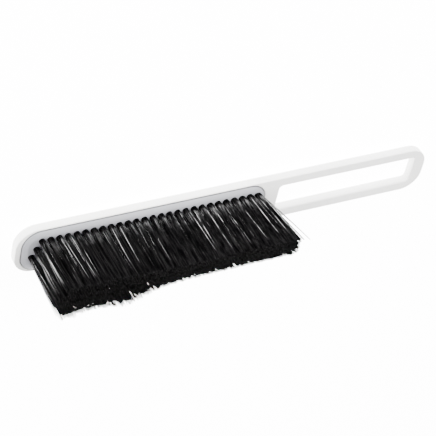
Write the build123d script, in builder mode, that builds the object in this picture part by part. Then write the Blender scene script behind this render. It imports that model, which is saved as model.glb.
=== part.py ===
from build123d import *
import os

# Hand brush with a loop handle. It lies on its flat back with the bristles up.
# X runs from the brush head (-X) to the loop end (+X), and Y across the brush.
# The origin is the middle of the footprint, on the flat back. Millimetres.

# ---- body: a flat bar with rounded ends, a block pocket and a finger slot ----
BODY_LENGTH = 350.0
BODY_WIDTH = 42.0
BODY_THICKNESS = 8.0
BODY_END_RADIUS = 16.5
RIM_FILLET = 0.7
BACK_FILLET = 2.0

SLOT_LENGTH = 123.0
SLOT_WIDTH = 25.8
SLOT_END_WALL = 10.5
SLOT_RADIUS = 3.0
SLOT_FILLET = 1.0

# ---- pocket for the tuft block ----
POCKET_END_WALL = 4.5
POCKET_SIDE_WALL = 1.1
POCKET_LENGTH = 199.8
POCKET_RADIUS = 15.0
POCKET_FLOOR = 2.6

# ---- tuft block ----
BLOCK_GAP = 0.6
BLOCK_STEP = 0.3
BLOCK_CROWN = 1.2
BLOCK_BEVEL = 4.4
BLOCK_RIDGE_FILLET = 0.5

# ---- snap catches on the block's long sides ----
CATCH_COUNT = 5
CATCH_SPACING = 34.0
CATCH_LENGTH = 9.0
CATCH_DEPTH = 1.0
CATCH_HEIGHT = 1.2
CATCH_Z = 4.6
CATCH_CLEARANCE = 0.1

# ---- tufts ----
TUFT_PITCH = 6.8
ROW_SPACING = 7.5
TUFT_DIAMETER = 4.7
TUFT_FLATS = 4.3
TUFT_CHAMFER = 1.26
HOLE_DIAMETER = 4.9
HOLE_DEPTH = 5.0
FIRST_TUFT = 12.2
RANK_COUNT = 28
TIP_HEIGHT_TOE = 62.2
TIP_HEIGHT_HEEL = 59.4
TIP_GAP = 0.4
TIP_CHAMFER = 1.0
TOE_GATHER = 0.95
TOE_LEAN = 2.6
HEEL_FAN = 12.0
HEEL_GATHER = 0.55
GATHER_START = 50.0
GATHER_END = 112.0

# ---- anchor staples folded through the tufts ----
STAPLE_WIDTH = 0.5
STAPLE_HEIGHT = 1.8
STAPLE_LENGTH = 4.6
STAPLE_SLOT = 0.7

HEAD_END = -BODY_LENGTH / 2
LOOP_END = BODY_LENGTH / 2
SLOT_X = LOOP_END - SLOT_END_WALL - SLOT_LENGTH / 2
POCKET_WIDTH = BODY_WIDTH - 2 * POCKET_SIDE_WALL
POCKET_X = HEAD_END + POCKET_END_WALL + POCKET_LENGTH / 2
BLOCK_LENGTH = POCKET_LENGTH - 2 * BLOCK_GAP
BLOCK_WIDTH = POCKET_WIDTH - 2 * BLOCK_GAP
BLOCK_RADIUS = POCKET_RADIUS - BLOCK_GAP
BLOCK_SHOULDER = BODY_THICKNESS + BLOCK_STEP
BLOCK_TOP = BLOCK_SHOULDER + BLOCK_CROWN
HOLE_FLOOR = BLOCK_TOP - HOLE_DEPTH
FIELD_LENGTH = TUFT_PITCH * (RANK_COUNT - 1)


def smooth(t):
    """0 below 0, 1 above 1 and an S curve between."""
    t = min(1.0, max(0.0, t))
    return t * t * (3 - 2 * t)


def tip_of(x, y):
    """Where a tuft based at (x, y), x from the head end, has its tip: x, y, z, width across."""
    heel = smooth((x - GATHER_START) / (GATHER_END - GATHER_START))
    gather = TOE_GATHER + (HEEL_GATHER - TOE_GATHER) * heel
    t = max(0.0, (x - FIRST_TUFT) / FIELD_LENGTH)
    fan = HEEL_FAN * t**4 + TOE_LEAN * (1 - t) ** 2
    height = TIP_HEIGHT_TOE + (TIP_HEIGHT_HEEL - TIP_HEIGHT_TOE) * heel
    return x + fan, y * gather, height, ROW_SPACING * gather - TIP_GAP


# Rows 1 and 3 share their spacing along the brush, and rows 2 and 4 sit half a pitch on.
# The outermost tuft of row 1 at the head end is left out, where the block turns its corner.
rows = {n: [] for n in (1, 2, 3, 4)}
ranks = []
for i in range(RANK_COUNT):
    rank = []
    for row in (1, 2, 3, 4):
        shift = 0.0 if row in (1, 3) else TUFT_PITCH / 2
        if row == 1 and i == 0:
            continue
        if row in (2, 4) and i == RANK_COUNT - 1:
            continue
        base = (FIRST_TUFT + i * TUFT_PITCH + shift, ROW_SPACING * (2.5 - row))
        rank.append(base)
        rows[row].append(base)
    ranks.append(rank)
hole_centres = [(HEAD_END + x, y) for row in rows.values() for x, y in row]
catch_centres = [
    (POCKET_X + (i - (CATCH_COUNT - 1) / 2) * CATCH_SPACING, side * BLOCK_WIDTH / 2)
    for i in range(CATCH_COUNT)
    for side in (-1, 1)
]

os.makedirs("parts", exist_ok=True)

# ---------------------------------------------------------------- handle body
with BuildPart() as handle_body:
    with BuildSketch(Plane.XY):
        RectangleRounded(BODY_LENGTH, BODY_WIDTH, BODY_END_RADIUS)
        with Locations((SLOT_X, 0)):
            RectangleRounded(SLOT_LENGTH, SLOT_WIDTH, SLOT_RADIUS, mode=Mode.SUBTRACT)
    extrude(amount=BODY_THICKNESS)
    rim = handle_body.faces().sort_by(Axis.Z)[-1]
    fillet(rim.outer_wire().edges(), radius=RIM_FILLET)
    rim = handle_body.faces().sort_by(Axis.Z)[-1]
    fillet(rim.inner_wires()[0].edges(), radius=SLOT_FILLET)
    back = handle_body.faces().sort_by(Axis.Z)[0]
    fillet(back.outer_wire().edges(), radius=BACK_FILLET)
    back = handle_body.faces().sort_by(Axis.Z)[0]
    fillet(back.inner_wires()[0].edges(), radius=SLOT_FILLET)
    with BuildSketch(Plane.XY.offset(POCKET_FLOOR)):
        with Locations((POCKET_X, 0)):
            RectangleRounded(POCKET_LENGTH, POCKET_WIDTH, POCKET_RADIUS)
    extrude(amount=BODY_THICKNESS, mode=Mode.SUBTRACT)
    with BuildSketch(Plane.XY.offset(CATCH_Z - CATCH_CLEARANCE)):
        with Locations(*catch_centres):
            Rectangle(
                CATCH_LENGTH + 2 * CATCH_CLEARANCE,
                2 * (CATCH_DEPTH + CATCH_CLEARANCE),
            )
    extrude(amount=CATCH_HEIGHT + 2 * CATCH_CLEARANCE, mode=Mode.SUBTRACT)
handle_body.part.label = "handle_body"
export_step(handle_body.part, "parts/handle_body.step")

# ----------------------------------------------------------------- tuft block
with BuildPart() as tuft_block:
    with BuildSketch(Plane.XY.offset(POCKET_FLOOR)):
        with Locations((POCKET_X, 0)):
            RectangleRounded(BLOCK_LENGTH, BLOCK_WIDTH, BLOCK_RADIUS)
    extrude(amount=BLOCK_SHOULDER - POCKET_FLOOR)
    with BuildSketch(Plane.XY.offset(BLOCK_SHOULDER)):
        with Locations((POCKET_X, 0)):
            RectangleRounded(BLOCK_LENGTH, BLOCK_WIDTH, BLOCK_RADIUS)
    with BuildSketch(Plane.XY.offset(BLOCK_TOP)):
        with Locations((POCKET_X, 0)):
            RectangleRounded(
                BLOCK_LENGTH - 2 * BLOCK_BEVEL,
                BLOCK_WIDTH - 2 * BLOCK_BEVEL,
                BLOCK_RADIUS - BLOCK_BEVEL,
            )
    loft(ruled=True)
    crown = tuft_block.faces().sort_by(Axis.Z)[-1]
    fillet(crown.outer_wire().edges(), radius=BLOCK_RIDGE_FILLET)
    with BuildSketch(Plane.XY.offset(CATCH_Z)):
        with Locations(*catch_centres):
            Rectangle(CATCH_LENGTH, 2 * CATCH_DEPTH)
    extrude(amount=CATCH_HEIGHT)
    with BuildSketch(Plane.XY.offset(HOLE_FLOOR)):
        with Locations(*hole_centres):
            Circle(HOLE_DIAMETER / 2)
    extrude(amount=HOLE_DEPTH + BLOCK_CROWN, mode=Mode.SUBTRACT)
tuft_block.part.label = "tuft_block"
export_step(tuft_block.part, "parts/tuft_block.step")

# ---------------------------------------------------------------------- tufts
# Each tuft is folded over its staple, stands round in its hole and fans out eight-sided
# to a trimmed tip.
for number, rank in enumerate(ranks, start=1):
    with BuildPart() as tuft_rank:
        with BuildSketch(Plane.XY.offset(HOLE_FLOOR)):
            with Locations(*[(HEAD_END + x, y) for x, y in rank]):
                Circle(TUFT_DIAMETER / 2)
        extrude(amount=HOLE_DEPTH)
        for x, y in rank:
            tip_x, tip_y, tip_z, tip_width = tip_of(x, y)
            with BuildSketch(Plane.XY.offset(BLOCK_TOP)):
                with Locations((HEAD_END + x, y)):
                    foot = Rectangle(TUFT_FLATS, TUFT_FLATS)
                chamfer(foot.vertices(), length=TUFT_CHAMFER)
            with BuildSketch(Plane.XY.offset(tip_z)):
                with Locations((HEAD_END + tip_x, tip_y)):
                    tip = Rectangle(TUFT_PITCH - TIP_GAP, tip_width)
                chamfer(tip.vertices(), length=TIP_CHAMFER)
            loft(ruled=True)
        with BuildSketch(Plane.XY.offset(HOLE_FLOOR)):
            with Locations(*[(HEAD_END + x, y) for x, y in rank]):
                Rectangle(TUFT_DIAMETER + 1, STAPLE_SLOT)
        extrude(amount=STAPLE_HEIGHT + STAPLE_SLOT, mode=Mode.SUBTRACT)
    tuft_rank.part.label = f"tuft_rank_{number:02d}"
    export_step(tuft_rank.part, f"parts/tuft_rank_{number:02d}.step")

# -------------------------------------------------------------------- staples
for row, bases in rows.items():
    with BuildPart() as staples:
        with BuildSketch(Plane.XY.offset(HOLE_FLOOR)):
            with Locations(*[(HEAD_END + x, y) for x, y in bases]):
                Rectangle(STAPLE_LENGTH, STAPLE_WIDTH)
        extrude(amount=STAPLE_HEIGHT)
    staples.part.label = f"anchor_staples_row_{row}"
    export_step(staples.part, f"parts/anchor_staples_row_{row}.step")
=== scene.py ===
import math
import random

import bpy
import bmesh
import numpy as np
from mathutils import Matrix, Vector


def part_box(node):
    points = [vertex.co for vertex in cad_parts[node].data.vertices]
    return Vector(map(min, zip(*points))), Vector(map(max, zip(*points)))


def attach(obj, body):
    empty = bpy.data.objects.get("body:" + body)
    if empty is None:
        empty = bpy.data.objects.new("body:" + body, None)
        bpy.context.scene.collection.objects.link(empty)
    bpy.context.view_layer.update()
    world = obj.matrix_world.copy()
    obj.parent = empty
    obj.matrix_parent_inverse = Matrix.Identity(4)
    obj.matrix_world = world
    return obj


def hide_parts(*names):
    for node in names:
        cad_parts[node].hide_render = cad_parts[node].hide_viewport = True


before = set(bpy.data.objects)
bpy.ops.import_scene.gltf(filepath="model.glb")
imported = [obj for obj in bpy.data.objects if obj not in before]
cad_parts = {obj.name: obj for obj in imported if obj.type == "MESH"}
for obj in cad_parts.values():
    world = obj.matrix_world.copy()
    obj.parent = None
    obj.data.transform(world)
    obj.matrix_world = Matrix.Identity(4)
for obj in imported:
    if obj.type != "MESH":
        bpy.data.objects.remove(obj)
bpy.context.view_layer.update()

MM = 0.001

# ------------------------------------------------------------------- camera
# Lens, distance and direction of the photograph; the aim is a point just off the brush's middle.
CAM_AZIMUTH = 211.858
CAM_ELEVATION = 36.358
CAM_ROLL = 147.44
CAM_DISTANCE = 1.4039
CAM_LENS = 152.64
CAM_AIM = Vector((-8.53 * MM, -7.33 * MM, 8.0 * MM))


def camera_rotation(azimuth, elevation, roll):
    """Direction and rotation of a camera that looks along an azimuth and down, rolled on its axis."""
    a, e = math.radians(azimuth), math.radians(elevation)
    forward = Vector((-math.sin(a) * math.cos(e), math.cos(a) * math.cos(e), -math.sin(e)))
    turn = forward.to_track_quat("-Z", "Y").to_matrix()
    return forward, (turn @ Matrix.Rotation(math.radians(roll), 3, "Z")).to_quaternion()


camera_data = bpy.data.cameras.new("camera")
camera_data.sensor_width = 36.0
camera_data.lens = CAM_LENS
camera_data.clip_start = 0.05
camera_data.clip_end = 50.0
camera = bpy.data.objects.new("camera", camera_data)
bpy.context.scene.collection.objects.link(camera)
look, turned = camera_rotation(CAM_AZIMUTH, CAM_ELEVATION, CAM_ROLL)
camera.rotation_mode = "QUATERNION"
camera.rotation_quaternion = turned
camera.location = CAM_AIM - look * CAM_DISTANCE
bpy.context.scene.camera = camera


# ------------------------------------------------------------- shader nodes
def principled(name):
    material = bpy.data.materials.new(name)
    material.use_nodes = True
    tree = material.node_tree
    return material, tree, tree.nodes["Principled BSDF"]


def noise(tree, scale, detail, stretch=None):
    """Noise in the object's own coordinates; a stretch scales X, Y and Z each by its own factor."""
    coords = tree.nodes.new("ShaderNodeTexCoord")
    node = tree.nodes.new("ShaderNodeTexNoise")
    node.inputs["Scale"].default_value = scale
    node.inputs["Detail"].default_value = detail
    if stretch is None:
        tree.links.new(coords.outputs["Object"], node.inputs["Vector"])
    else:
        mapping = tree.nodes.new("ShaderNodeMapping")
        mapping.inputs["Scale"].default_value = stretch
        tree.links.new(coords.outputs["Object"], mapping.inputs["Vector"])
        tree.links.new(mapping.outputs["Vector"], node.inputs["Vector"])
    return node.outputs["Fac"]


def attribute(tree, name):
    node = tree.nodes.new("ShaderNodeAttribute")
    node.attribute_name = name
    return node.outputs["Fac"]


def ramp(tree, fac, stops):
    node = tree.nodes.new("ShaderNodeValToRGB")
    elements = node.color_ramp.elements
    while len(elements) < len(stops):
        elements.new(0.5)
    for element, (place, colour) in zip(elements, stops):
        element.position = place
        element.color = (*colour, 1.0)
    tree.links.new(fac, node.inputs["Fac"])
    return node.outputs["Color"]


def grey_ramp(tree, fac, stops):
    """A ramp of greys, each stop a place and a level."""
    return ramp(tree, fac, [(place, (level, level, level)) for place, level in stops])


def ranged(tree, fac, low, high):
    node = tree.nodes.new("ShaderNodeMapRange")
    node.inputs["To Min"].default_value = low
    node.inputs["To Max"].default_value = high
    tree.links.new(fac, node.inputs["Value"])
    return node.outputs["Result"]


def calculated(tree, operation, first, second):
    node = tree.nodes.new("ShaderNodeMath")
    node.operation = operation
    tree.links.new(first, node.inputs[0])
    tree.links.new(second, node.inputs[1])
    return node.outputs["Value"]


def colour_mix(tree, factor, first, second):
    node = tree.nodes.new("ShaderNodeMix")
    node.data_type = "RGBA"
    tree.links.new(factor, node.inputs["Factor"])
    tree.links.new(first, node.inputs["A"])
    tree.links.new(second, node.inputs["B"])
    return node.outputs["Result"]


def bump(tree, shader, height, strength, distance):
    node = tree.nodes.new("ShaderNodeBump")
    node.inputs["Strength"].default_value = strength
    node.inputs["Distance"].default_value = distance
    tree.links.new(height, node.inputs["Height"])
    tree.links.new(node.outputs["Normal"], shader.inputs["Normal"])


# ---------------------------------------------------------------- materials
PLASTIC_IOR = 1.49
NYLON_IOR = 1.53
CUT_END_START = 0.995
# Sheen of every filament and glints of the glossy few, from the root (0) to the tip (1).
SHEEN_STOPS = ((0.07, 0.0), (0.12, 0.7), (0.19, 0.2), (0.32, 0.01), (0.5, 0.0))
GLINT_STOPS = ((0.06, 0.0), (0.14, 0.8), (0.5, 1.0), (0.72, 0.45), (0.9, 0.0))


def moulded_plastic(name, dark, light, roughness):
    """A moulded thermoplastic: faint cloudy colour, uneven gloss and a fine orange peel."""
    material, tree, shader = principled(name)
    cloud = noise(tree, scale=26.0, detail=5.0)
    tree.links.new(ramp(tree, cloud, [(0.3, dark), (0.7, light)]), shader.inputs["Base Color"])
    wear = noise(tree, scale=190.0, detail=6.0)
    tree.links.new(ranged(tree, wear, *roughness), shader.inputs["Roughness"])
    peel = noise(tree, scale=900.0, detail=3.0)
    bump(tree, shader, peel, strength=0.06, distance=0.4 * MM)
    shader.inputs["IOR"].default_value = PLASTIC_IOR
    return material


def filament_material():
    """Black nylon, streaked along its length, with paler cut ends and a few polished filaments."""
    material, tree, shader = principled("bristle")
    along = attribute(tree, "along")
    streak = noise(tree, scale=1.0, detail=4.0, stretch=(900.0, 900.0, 30.0))
    body = ramp(tree, streak, [(0.42, (0.0006, 0.0006, 0.0007)), (0.7, (0.009, 0.0088, 0.009))])
    cut = tree.nodes.new("ShaderNodeMapRange")
    cut.inputs["From Min"].default_value = CUT_END_START
    cut.inputs["From Max"].default_value = 1.0
    tree.links.new(along, cut.inputs["Value"])
    grain = noise(tree, scale=1.0, detail=2.0, stretch=(1500.0, 1500.0, 1500.0))
    cut_end = grey_ramp(tree, grain, [(0.45, 0.0015), (0.68, 0.024)])
    colour = colour_mix(tree, cut.outputs["Result"], body, cut_end)
    tree.links.new(colour, shader.inputs["Base Color"])
    tree.links.new(ranged(tree, streak, 0.12, 0.32), shader.inputs["Roughness"])

    patches = noise(tree, scale=1.0, detail=2.0, stretch=(600.0, 600.0, 60.0))
    patchy = grey_ramp(tree, patches, [(0.46, 0.0), (0.66, 1.0)])
    sheen = calculated(tree, "MULTIPLY", grey_ramp(tree, along, SHEEN_STOPS), patchy)
    breaks = noise(tree, scale=1.0, detail=2.0, stretch=(700.0, 700.0, 45.0))
    broken = grey_ramp(tree, breaks, [(0.38, 0.05), (0.56, 1.0)])
    shine = calculated(tree, "MULTIPLY", attribute(tree, "gloss"), grey_ramp(tree, along, GLINT_STOPS))
    glint = calculated(tree, "MULTIPLY", shine, broken)
    tree.links.new(calculated(tree, "ADD", sheen, glint), shader.inputs["Specular IOR Level"])
    shader.inputs["IOR"].default_value = NYLON_IOR
    return material


def steel():
    """Bright steel wire, drawn along X."""
    material, tree, shader = principled("staple_steel")
    drawn = noise(tree, scale=1.0, detail=4.0, stretch=(120.0, 4000.0, 4000.0))
    colour = ramp(tree, drawn, [(0.3, (0.42, 0.42, 0.43)), (0.7, (0.6, 0.6, 0.61))])
    tree.links.new(colour, shader.inputs["Base Color"])
    tree.links.new(ranged(tree, drawn, 0.25, 0.45), shader.inputs["Roughness"])
    shader.inputs["Metallic"].default_value = 1.0
    return material


white_plastic = moulded_plastic(
    "white_plastic", (0.56, 0.557, 0.545), (0.60, 0.597, 0.585), roughness=(0.38, 0.52)
)
grey_plastic = moulded_plastic(
    "grey_plastic", (0.18, 0.182, 0.196), (0.205, 0.207, 0.222), roughness=(0.35, 0.5)
)
bristle = filament_material()
staple_steel = steel()


# ------------------------------------------------------------- mesh helpers
def rounded_rectangle(x0, x1, half_width, radius, corner_steps=14):
    """Points anticlockwise round a rectangle with round corners; the steps alone set their number."""
    points = []
    corners = (
        (x1 - radius, half_width - radius, 0.0),
        (x0 + radius, half_width - radius, 90.0),
        (x0 + radius, -half_width + radius, 180.0),
        (x1 - radius, -half_width + radius, 270.0),
    )
    for cx, cy, start in corners:
        for step in range(corner_steps + 1):
            a = math.radians(start + 90.0 * step / corner_steps)
            points.append((cx + radius * math.cos(a), cy + radius * math.sin(a)))
    return points


def circle(cx, cy, radius, steps=20):
    angles = [2 * math.pi * i / steps for i in range(steps)]
    return [(cx + radius * math.cos(a), cy + radius * math.sin(a)) for a in angles]


def quarter(steps):
    """Cosines and sines along a quarter turn."""
    angles = [math.pi / 2 * i / steps for i in range(steps + 1)]
    return [(math.cos(a), math.sin(a)) for a in angles]


def add_ring(bm, points, z):
    return [bm.verts.new((x, y, z)) for x, y in points]


def join_rings(bm, first, second):
    """A smooth band of quads between two rings of the same number of vertices."""
    n = len(first)
    for i in range(n):
        face = bm.faces.new((first[i], first[(i + 1) % n], second[(i + 1) % n], second[i]))
        face.smooth = True


def chain(bm, rings):
    """Bands from each ring to the next; gives back the two end rings."""
    for first, second in zip(rings, rings[1:]):
        join_rings(bm, first, second)
    return rings[0], rings[-1]


def fill_between(bm, *rings):
    """A flat face between an outer ring and the rings of its holes, with sharp edges all round."""
    edges = []
    for ring in rings:
        for i in range(len(ring)):
            edges.append(bm.edges.get((ring[i], ring[(i + 1) % len(ring)])))
    made = bmesh.ops.triangle_fill(bm, edges=edges, use_beauty=True, use_dissolve=False)
    for item in made["geom"]:
        if isinstance(item, bmesh.types.BMFace):
            item.smooth = False
            for edge in item.edges:
                if edge in edges:
                    edge.smooth = False


def finish_mesh(bm, name, material, slot_name, *nodes):
    bmesh.ops.recalc_face_normals(bm, faces=bm.faces)
    mesh = bpy.data.meshes.new(name)
    bm.to_mesh(mesh)
    bm.free()
    mesh.materials.append(material)
    piece = bpy.data.objects.new(name, mesh)
    bpy.context.scene.collection.objects.link(piece)
    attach(piece, "root")
    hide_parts(*nodes)


# -------------------------------------------------------------- handle body
body_low, body_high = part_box("handle_body")
block_low, block_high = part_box("tuft_block")
BODY_RADIUS = 16.5 * MM
BACK_ROUND = 2.0 * MM
RIM_ROUND = 0.7 * MM
SLOT_ROUND = 1.0 * MM
SLOT_RADIUS = 3.0 * MM
SLOT_CORNER_STEPS = 8
SLOT_END_WALL = 10.5 * MM
SLOT_LENGTH = 123.0 * MM
SLOT_HALF = 12.9 * MM
BLOCK_GAP = 0.6 * MM
BLOCK_RADIUS = 14.4 * MM
CATCH_DEPTH = 1.0 * MM
POCKET_CHAMFER = 0.55 * MM
POCKET_EDGE = 0.05 * MM

body_half = body_high.y
block_half = block_high.y - CATCH_DEPTH


def body_ring(bm, inset, z):
    x0, x1 = body_low.x + inset, body_high.x - inset
    return add_ring(bm, rounded_rectangle(x0, x1, body_half - inset, BODY_RADIUS - inset), z)


def slot_ring(bm, outset, z):
    x1 = body_high.x - SLOT_END_WALL + outset
    x0 = body_high.x - SLOT_END_WALL - SLOT_LENGTH - outset
    outline = rounded_rectangle(x0, x1, SLOT_HALF + outset, SLOT_RADIUS + outset, SLOT_CORNER_STEPS)
    return add_ring(bm, outline, z)


def block_ring(bm, inset, z):
    x0, x1 = block_low.x + inset, block_high.x - inset
    return add_ring(bm, rounded_rectangle(x0, x1, block_half - inset, BLOCK_RADIUS - inset), z)


bm = bmesh.new()
outer = []
for c, s in quarter(6):
    outer.append(body_ring(bm, BACK_ROUND * (1 - s), body_low.z + BACK_ROUND * (1 - c)))
for c, s in quarter(4):
    outer.append(body_ring(bm, RIM_ROUND * (1 - c), body_high.z - RIM_ROUND * (1 - s)))
slot_rings = []
for c, s in quarter(4):
    slot_rings.append(slot_ring(bm, SLOT_ROUND * (1 - s), body_low.z + SLOT_ROUND * (1 - c)))
for c, s in quarter(4):
    slot_rings.append(slot_ring(bm, SLOT_ROUND * (1 - c), body_high.z - SLOT_ROUND * (1 - s)))
back_outer, front_outer = chain(bm, outer)
back_slot, front_slot = chain(bm, slot_rings)
front_pocket, pocket_floor = chain(bm, [
    block_ring(bm, -BLOCK_GAP - POCKET_CHAMFER - POCKET_EDGE, body_high.z),
    block_ring(bm, -BLOCK_GAP - POCKET_CHAMFER, body_high.z - POCKET_EDGE),
    block_ring(bm, -BLOCK_GAP, body_high.z - POCKET_CHAMFER),
    block_ring(bm, -BLOCK_GAP, block_low.z),
])
fill_between(bm, back_outer, back_slot)
fill_between(bm, front_outer, front_slot, front_pocket)
fill_between(bm, pocket_floor)
finish_mesh(bm, "handle_body_moulding", white_plastic, "white_plastic", "handle_body")

# --------------------------------------------- tufts as the CAD stands them
NEAR_END = 0.05 * MM
KEYS_PER_METRE = 1e6


def islands(mesh):
    """The vertices of each separate solid of a mesh, joined where they share a place."""
    places = {}
    parent = []

    def find(i):
        while parent[i] != i:
            parent[i] = parent[parent[i]]
            i = parent[i]
        return i

    ids = []
    for vertex in mesh.vertices:
        key = tuple(round(v * KEYS_PER_METRE) for v in vertex.co)
        if key not in places:
            places[key] = len(parent)
            parent.append(len(parent))
        ids.append(places[key])
    for polygon in mesh.polygons:
        first = find(ids[polygon.vertices[0]])
        for v in polygon.vertices[1:]:
            parent[find(ids[v])] = first
    groups = {}
    for key, i in places.items():
        groups.setdefault(find(i), []).append(key)
    return [np.array(group, float) / KEYS_PER_METRE for group in groups.values()]


def tufts_of(node):
    """Base centre, tip centre and tip half size of each tuft in a rank, from row 1 to row 4."""
    found = []
    for points in islands(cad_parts[node].data):
        foot = points[points[:, 2] < points[:, 2].min() + NEAR_END]
        tip = points[points[:, 2] > points[:, 2].max() - NEAR_END]
        base = (foot.min(0) + foot.max(0)) / 2
        top = (tip.min(0) + tip.max(0)) / 2
        half = (tip.max(0) - tip.min(0)) / 2
        found.append((base, top, half))
    return sorted(found, key=lambda tuft: -tuft[0][1])


rank_nodes = sorted(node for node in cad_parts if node.startswith("tuft_rank_"))
ranks = [tufts_of(node) for node in rank_nodes]

# --------------------------------------------------------------- tuft block
BEVEL = 4.4 * MM
SHOULDER = body_high.z + 0.3 * MM
# A ring just below the rim keeps the wall evenly shaded down in the joint.
WALL_RING_DROP = 0.02 * MM
HOLE_RADIUS = 2.45 * MM
HOLE_SHOWN = 1.6 * MM
# The round edge over the shoulder: where it leaves the wall, its middle and where the bevel starts.
EDGE_DROP = 0.2 * MM
EDGE_MIDDLE_INSET = 0.08 * MM
EDGE_MIDDLE_DROP = 0.07 * MM
EDGE_REACH = 0.3 * MM
# The round ridge where the bevel meets the crown: its start, its middle and where it is level.
RIDGE_REACH = 0.5 * MM
RIDGE_MIDDLE_INSET = 0.15 * MM
RIDGE_MIDDLE_DROP = 0.05 * MM
RIDGE_LEVEL = 0.25 * MM

slope = (block_high.z - SHOULDER) / BEVEL
bm = bmesh.new()
block_bottom, block_crown = chain(bm, [
    block_ring(bm, 0.0, block_low.z),
    block_ring(bm, 0.0, body_high.z - WALL_RING_DROP),
    block_ring(bm, 0.0, SHOULDER - EDGE_DROP),
    block_ring(bm, EDGE_MIDDLE_INSET, SHOULDER - EDGE_MIDDLE_DROP),
    block_ring(bm, EDGE_REACH, SHOULDER + EDGE_REACH * slope),
    block_ring(bm, BEVEL - RIDGE_REACH, block_high.z - RIDGE_REACH * slope),
    block_ring(bm, BEVEL - RIDGE_MIDDLE_INSET, block_high.z - RIDGE_MIDDLE_DROP),
    block_ring(bm, BEVEL + RIDGE_LEVEL, block_high.z),
])
holes = []
for rank in ranks:
    for base, top, half in rank:
        mouth = add_ring(bm, circle(base[0], base[1], HOLE_RADIUS), block_high.z)
        floor = add_ring(bm, circle(base[0], base[1], HOLE_RADIUS), block_high.z - HOLE_SHOWN)
        join_rings(bm, mouth, floor)
        bm.faces.new(floor)
        holes.append(mouth)
fill_between(bm, block_crown, *holes)
fill_between(bm, block_bottom)
finish_mesh(bm, "tuft_block_moulding", grey_plastic, "grey_plastic", "tuft_block")

# ---------------------------------------------------------------- filaments
# The toe is the head end of the tufts and the heel is their end by the grip.
FILAMENTS = 84
FILAMENT_RADIUS = 0.22 * MM
RADIUS_RANGE = (0.9, 1.1)
SIDES = 4
SIDE_GUIDE = Vector((0.31, 0.95, 0.0))
STATIONS = (0.0, 0.06, 0.14, 0.28, 0.46, 0.66, 0.84, CUT_END_START, 1.0)
LEAN_POWER = 0.9
OPENING_POWER = 0.6
GOLDEN = math.pi * (3 - math.sqrt(5))
ROOT_Z = block_high.z - 1.2 * MM
TUFT_RADIUS = 2.15 * MM
SPLAY = 1.06
JITTER = 0.05
WANDER = 0.28 * MM
UNEVEN_CUT = 0.3 * MM
BOW = 0.5 * MM
# The wisps that a tuft's filaments gather into.
CLUMPS = 9
CLUMP_PULL = 0.35
CLUMP_PULL_RANGE = (0.3, 1.0)
CLUMP_SHORTENING = 0.35 * MM
# The share of glossy filaments, which is larger in the ranks at the two ends, and how they look.
GLOSSY_SHARE = 0.05
GLOSSY_AT_ENDS = 0.08
LAST_TOE_RANK = 4
FIRST_HEEL_RANK = 21
GLOSS_RANGE = (0.8, 1.8)
GLOSS_THICKENING = 0.2
# Where the rows of the far side splay: how far, how far from the head end, and over what length.
SPLAYS = (
    (4.5 * MM, 22 * MM, 8 * MM),
    (6.0 * MM, 70 * MM, 16 * MM),
    (1.5 * MM, 110 * MM, 30 * MM),
)
ROW_4_LIMIT = -10 * MM
ROW_3_SHARE = 0.45
INNER_SHARE = 0.45
HEEL_TUCK = np.array((1.5 * MM, 0.0, 0.0))
rng = random.Random(20)


def square_from_disk(u, v):
    """Moves a point of the unit disk out to the unit square."""
    reach = max(abs(u), abs(v), 1e-6)
    return u * math.hypot(u, v) / reach, v * math.hypot(u, v) / reach


def spiral(index, count):
    """Evenly spread points of the unit disk."""
    spread = math.sqrt((index + 0.5) / count)
    angle = index * GOLDEN
    return spread * math.cos(angle), spread * math.sin(angle)


def tuft_clumps():
    """The few wisps a tuft's filaments gather into: place in the tip square and shortening."""
    turn = rng.uniform(0, 2 * math.pi)
    wisps = []
    for index in range(CLUMPS):
        u, v = spiral(index, CLUMPS)
        u, v = u * math.cos(turn) - v * math.sin(turn), u * math.sin(turn) + v * math.cos(turn)
        su, sv = square_from_disk(u, v)
        wisps.append((su, sv, abs(rng.gauss(0, CLUMP_SHORTENING))))
    return wisps


def far_side_push(base, top, sv):
    """How far a tip is pushed outwards: fully in row 4, less in row 3, not at all in rows 1 and 2."""
    row_share = 1.0 if base[1] < ROW_4_LIMIT else ROW_3_SHARE if base[1] < 0 else 0.0
    x = top[0] - body_low.x
    splay = sum(push * math.exp(-(((x - middle) / length) ** 2)) for push, middle, length in SPLAYS)
    return row_share * splay * (INNER_SHARE + (1 - INNER_SHARE) * max(0.0, -sv))


def filament_path(base, top, half, index, wisps):
    """Foot, tip and sideways bow of one filament of a tuft."""
    u, v = spiral(index, FILAMENTS)
    u += rng.gauss(0, JITTER)
    v += rng.gauss(0, JITTER)
    su, sv = square_from_disk(u, v)
    wisp = min(wisps, key=lambda w: (w[0] - su) ** 2 + (w[1] - sv) ** 2)
    pull = CLUMP_PULL * rng.uniform(*CLUMP_PULL_RANGE)
    su += (wisp[0] - su) * pull
    sv += (wisp[1] - sv) * pull
    foot = Vector((base[0] + u * TUFT_RADIUS, base[1] + v * TUFT_RADIUS, ROOT_Z))
    end = Vector((
        top[0] + su * half[0] * SPLAY + rng.gauss(0, WANDER),
        top[1] + sv * half[1] * SPLAY - far_side_push(base, top, sv) + rng.gauss(0, WANDER),
        top[2] - wisp[2] - abs(rng.gauss(0, UNEVEN_CUT)),
    ))
    return foot, end, Vector((rng.gauss(0, BOW), rng.gauss(0, BOW), 0.0))


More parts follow.
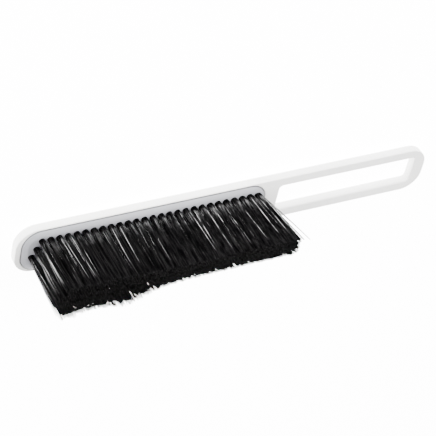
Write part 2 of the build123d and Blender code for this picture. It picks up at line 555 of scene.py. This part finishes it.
def add_filament(mesh_data, foot, end, bow, radius, gloss, centre_line):
    """A thin four-sided filament; it leans as its tuft's centre line does and splays sooner."""
    points, faces, along, shine = mesh_data
    start = len(points)
    run = end - foot
    line_foot, line_end = centre_line
    side = run.cross(SIDE_GUIDE).normalized()
    other = run.cross(side).normalized()
    root = Vector((foot.x - line_foot.x, foot.y - line_foot.y, 0.0))
    reach = Vector((end.x - line_end.x, end.y - line_end.y, 0.0))
    for t in STATIONS:
        lean = t ** LEAN_POWER
        opened = t ** OPENING_POWER
        x = line_foot.x + (line_end.x - line_foot.x) * lean
        y = line_foot.y + (line_end.y - line_foot.y) * lean
        centre = Vector((x, y, foot.z + run.z * t)) + root + (reach - root) * opened
        centre += bow * math.sin(math.pi * t) * t
        for k in range(SIDES):
            a = 2 * math.pi * k / SIDES
            points.append(centre + (side * math.cos(a) + other * math.sin(a)) * radius)
            along.append(t)
            shine.append(gloss)
    for ring in range(len(STATIONS) - 1):
        for k in range(SIDES):
            a = start + ring * SIDES + k
            b = start + ring * SIDES + (k + 1) % SIDES
            faces.append((a, b, b + SIDES, a + SIDES))
    last = start + (len(STATIONS) - 1) * SIDES
    faces.append(tuple(last + k for k in range(SIDES)))


def filament_mesh(name, rank, extras, share):
    """A rank's filaments and its strays in one mesh, smooth along the sides, flat at the cut ends."""
    mesh_data = ([], [], [], [])
    for base, top, half in rank:
        wisps = tuft_clumps()
        line = (Vector(base), Vector(top))
        for index in range(FILAMENTS):
            foot, end, bow = filament_path(base, top, half, index, wisps)
            radius = FILAMENT_RADIUS * rng.uniform(*RADIUS_RANGE)
            gloss = rng.uniform(*GLOSS_RANGE) if rng.random() < share else 0.0
            thickness = radius * (1.0 + GLOSS_THICKENING * gloss)
            add_filament(mesh_data, foot, end, bow, thickness, gloss, line)
    for foot, end, bow in extras:
        gloss = rng.uniform(*STRAY_GLOSS_RANGE)
        add_filament(mesh_data, foot, end, bow, STRAY_RADIUS, gloss, (foot, end))
    points, faces, along, shine = mesh_data
    mesh = bpy.data.meshes.new(name)
    mesh.from_pydata([tuple(p) for p in points], [], faces)
    for label, values in (("along", along), ("gloss", shine)):
        layer = mesh.attributes.new(label, "FLOAT", "POINT")
        layer.data.foreach_set("value", values)
    smooth = [max(along[i] for i in face) > min(along[i] for i in face) for face in faces]
    mesh.polygons.foreach_set("use_smooth", smooth)
    mesh.materials.append(bristle)
    mesh.update()
    piece = bpy.data.objects.new(name, mesh)
    bpy.context.scene.collection.objects.link(piece)
    return piece


# ---------------------------------------------------------- stray filaments
STRAY_RADIUS = 0.32 * MM
STRAY_GLOSS_RANGE = (0.3, 1.0)
STRAY_OFFSET = 1.5 * MM
# Those of the last rank: how far each tip stands out along X and sideways from its tuft's.
HEEL_STRAYS = (
    (11.0 * MM, -1.5 * MM),
    (10.2 * MM, -0.6 * MM),
    (6.0 * MM, -0.5 * MM),
    (5.0 * MM, 0.3 * MM),
)
HEEL_STRAY_SPREAD = 1.0 * MM
HEEL_STRAY_DROP = 1.0 * MM
HEEL_STRAY_BOW = Vector((0.5 * MM, 0.0, 0.0))
# Those of each tuft in the first ranks.
TOE_STRAY_RANKS = 2
TOE_STRAYS = 7
TOE_STRAY_REACH = (3.0, 6.5)
TOE_STRAY_WANDER = 1.5 * MM
TOE_STRAY_DROP = 2.0
TOE_STRAY_BOW = Vector((-0.6 * MM, 0.0, 0.0))


def heel_strays(base, top):
    extras = []
    for reach, sideways in HEEL_STRAYS:
        y = base[1] + rng.uniform(-1, 1) * HEEL_STRAY_SPREAD
        drop = rng.uniform(0, 1) * HEEL_STRAY_DROP
        foot = Vector((base[0] + STRAY_OFFSET, y, ROOT_Z))
        end = Vector((top[0] + reach, top[1] + sideways, top[2] - drop))
        extras.append((foot, end, HEEL_STRAY_BOW))
    return extras


def toe_strays(base, top):
    extras = []
    for _ in range(TOE_STRAYS):
        x = top[0] - rng.uniform(*TOE_STRAY_REACH) * MM
        y = top[1] + rng.gauss(0, TOE_STRAY_WANDER)
        drop = rng.uniform(0, TOE_STRAY_DROP) * MM
        foot = Vector((base[0] - STRAY_OFFSET, base[1], ROOT_Z))
        extras.append((foot, Vector((x, y, top[2] - drop)), TOE_STRAY_BOW))
    return extras


def strays(number, rank):
    """The few filaments that stand away from the tufts at the two ends of the head."""
    if number == len(ranks):
        base, top, half = rank[0]
        return heel_strays(base, top)
    if number <= TOE_STRAY_RANKS:
        return [stray for base, top, half in rank for stray in toe_strays(base, top)]
    return []


def tip_spacing(number):
    """How far apart along X a rank's tips and the next rank's stand, in rows 1 and 3."""
    after = min(number, len(ranks) - 1)
    return ranks[after][-2][1][0] - ranks[after - 1][-2][1][0]


def filled_out(number):
    """A rank's tufts with tips that meet the next rank's; at the heel the last tips draw level."""
    rank = ranks[number - 1]
    if number == len(ranks):
        return [(base, top - HEEL_TUCK, half) for base, top, half in rank]
    least = tip_spacing(number) / 2
    wide = [(base, top, (max(half[0], least), half[1])) for base, top, half in rank]
    if number == len(ranks) - 1:
        wide[1::2] = [(base, top + HEEL_TUCK, half) for base, top, half in wide[1::2]]
    return wide


for number, node in enumerate(rank_nodes, start=1):
    rank = filled_out(number)
    at_end = number <= LAST_TOE_RANK or number >= FIRST_HEEL_RANK
    share = GLOSSY_AT_ENDS if at_end else GLOSSY_SHARE
    name = node.replace("tuft_rank", "filaments")
    piece = filament_mesh(name, rank, strays(number, rank), share)
    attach(piece, "root")
    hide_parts(node)

# ------------------------------------------------------------------ staples
# They keep the CAD's own shape and only take the steel.
for node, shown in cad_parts.items():
    if node.startswith("anchor_staples"):
        shown.data.materials.clear()
        shown.data.materials.append(staple_steel)

# ---------------------------------------------------------- floor and light
FLOOR_HALF = 20.0
FLOOR_GLOW = 10.5
WORLD_STRENGTH = 1.6
WHITE = (1.0, 1.0, 1.0, 1.0)

floor_material, floor_tree, floor_shader = principled("studio_floor")
paper = noise(floor_tree, scale=3.0, detail=2.0)
paper_colour = grey_ramp(floor_tree, paper, [(0.3, 0.93), (0.7, 0.95)])
floor_tree.links.new(paper_colour, floor_shader.inputs["Base Color"])
floor_shader.inputs["Roughness"].default_value = 0.9
floor_shader.inputs["Emission Color"].default_value = WHITE
floor_shader.inputs["Emission Strength"].default_value = FLOOR_GLOW
corners = [(x * FLOOR_HALF, y * FLOOR_HALF, 0.0) for x, y in ((-1, -1), (1, -1), (1, 1), (-1, 1))]
floor_mesh = bpy.data.meshes.new("studio_floor")
floor_mesh.from_pydata(corners, [], [(0, 1, 2, 3)])
floor_mesh.materials.append(floor_material)
studio_floor = bpy.data.objects.new("studio_floor", floor_mesh)
bpy.context.scene.collection.objects.link(studio_floor)

world = bpy.data.worlds.new("studio")
world.use_nodes = True
world.node_tree.nodes["Background"].inputs["Color"].default_value = WHITE
world.node_tree.nodes["Background"].inputs["Strength"].default_value = WORLD_STRENGTH
bpy.context.scene.world = world


def softbox(name, direction, distance, size, power):
    """A square area light that faces the camera's aim from a direction and a distance."""
    data = bpy.data.lights.new(name, "AREA")
    data.shape = "SQUARE"
    data.size = size
    data.energy = power
    lamp = bpy.data.objects.new(name, data)
    bpy.context.scene.collection.objects.link(lamp)
    towards = Vector(direction).normalized()
    lamp.location = CAM_AIM + towards * distance
    lamp.rotation_mode = "QUATERNION"
    lamp.rotation_quaternion = (-towards).to_track_quat("-Z", "Y")


softbox("key_box", direction=(-0.25, 1.0, 0.45), distance=1.6, size=1.0, power=6.0)
softbox("top_box", direction=(0.35, 0.25, 1.0), distance=1.5, size=1.2, power=76.0)
softbox("toe_box", direction=(-1.0, 0.3, 0.7), distance=1.2, size=0.8, power=26.0)
